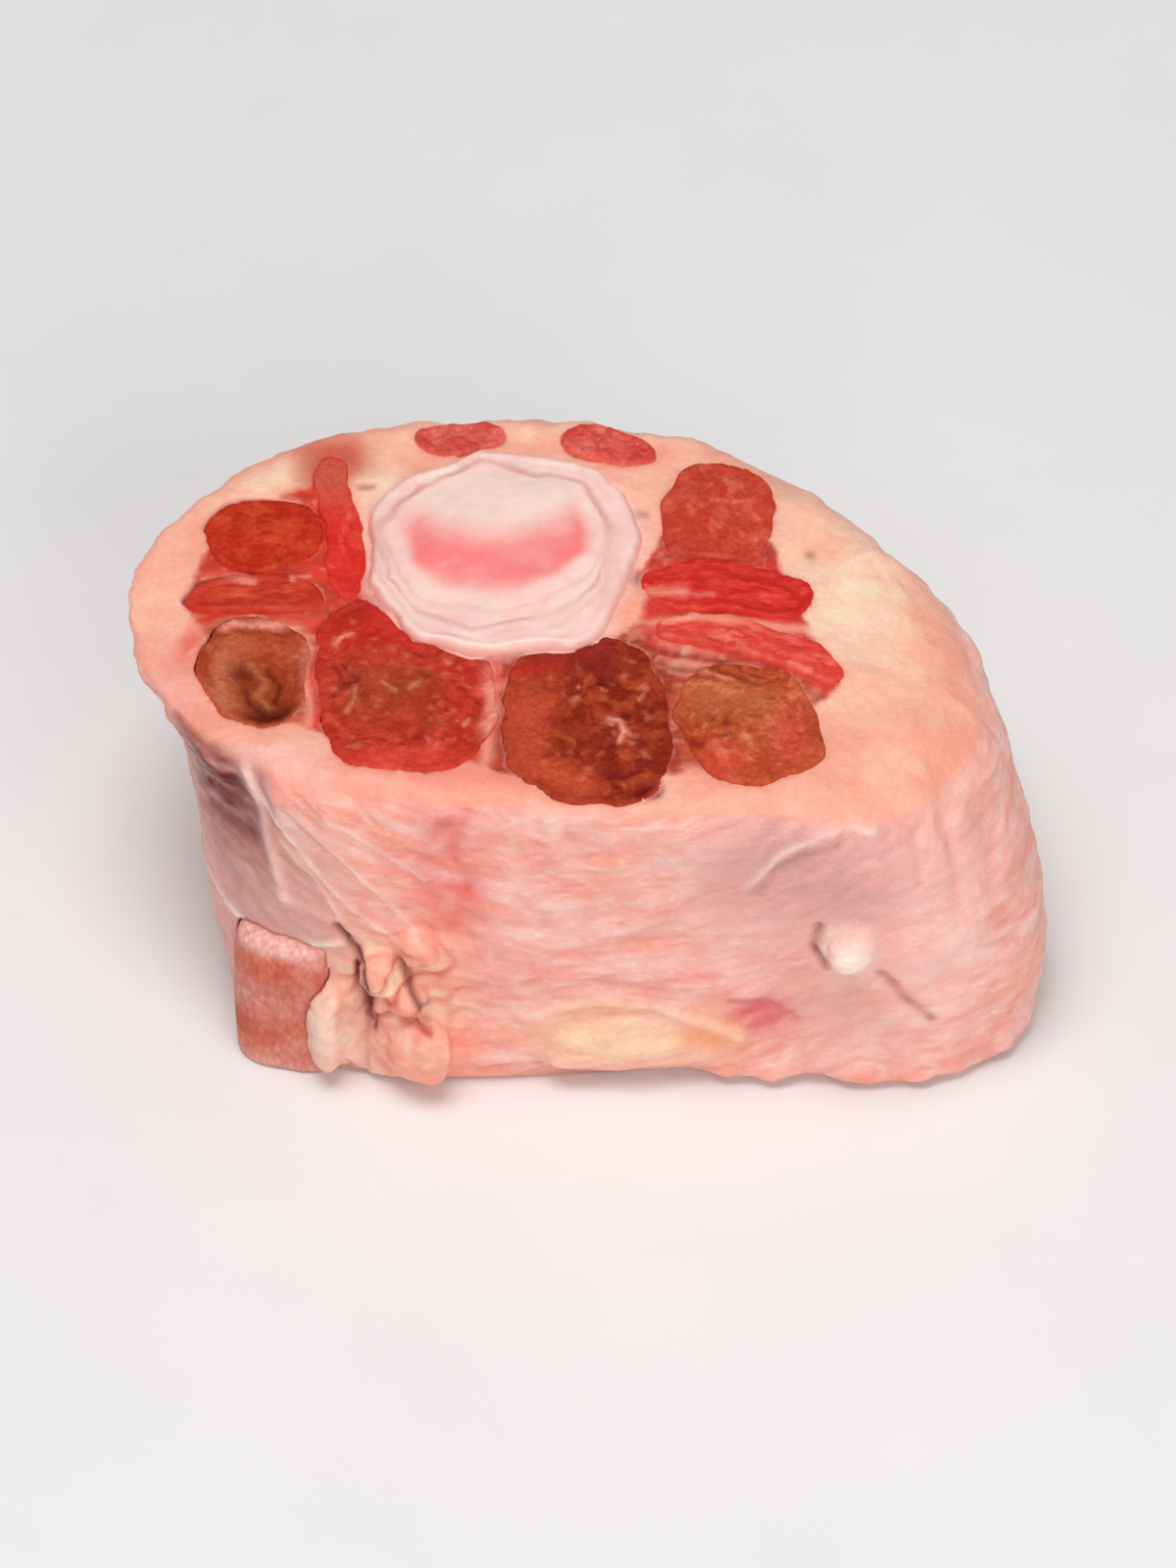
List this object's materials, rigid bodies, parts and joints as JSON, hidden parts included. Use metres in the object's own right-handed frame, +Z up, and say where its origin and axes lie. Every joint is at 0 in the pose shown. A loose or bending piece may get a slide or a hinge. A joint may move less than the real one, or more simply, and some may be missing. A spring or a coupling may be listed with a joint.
{
  "type": "raw oxtail segment",
  "caption": "Thick cross-cut segment of raw oxtail lying on a cut face: tail bone in the middle, lean muscles round it, and soft fat that wraps the side.",
  "frame": {"origin": "on the surface that the segment lies on, under the middle of its bounding box", "axes": "+Z is up, along the tail's axis, from the lower cut face to the upper one; +X is the long way across the cut face, towards the soft shoulder of fat; -Y is the side that the picture shows"},
  "size_m": [0.095, 0.0614, 0.0432],
  "materials": {
    "fat": "moist pale pink fat and connective tissue, satin",
    "bone": "wet cartilage and bone, pale pink to cream",
    "muscle_red": "moist red lean meat, satin",
    "muscle_bright": "moist bright red lean meat, satin",
    "muscle_brown": "moist brownish red lean meat, satin"
  },
  "bodies": {
    "root": {"fat": "fat", "vertebra": "bone", "muscle_side": "muscle_brown", "muscle_upper_left": "muscle_brown", "muscle_inner_left": "muscle_red", "muscle_left": "muscle_bright", "muscle_left_round": "muscle_brown", "muscle_lower_left": "muscle_red", "muscle_lower_middle": "muscle_brown", "muscle_lower_right": "muscle_brown", "muscle_right_outer": "muscle_bright", "muscle_right": "muscle_bright", "muscle_upper_right": "muscle_brown", "muscle_top_right": "muscle_red", "muscle_top_left": "muscle_red"}
  },
  "joints": []
}
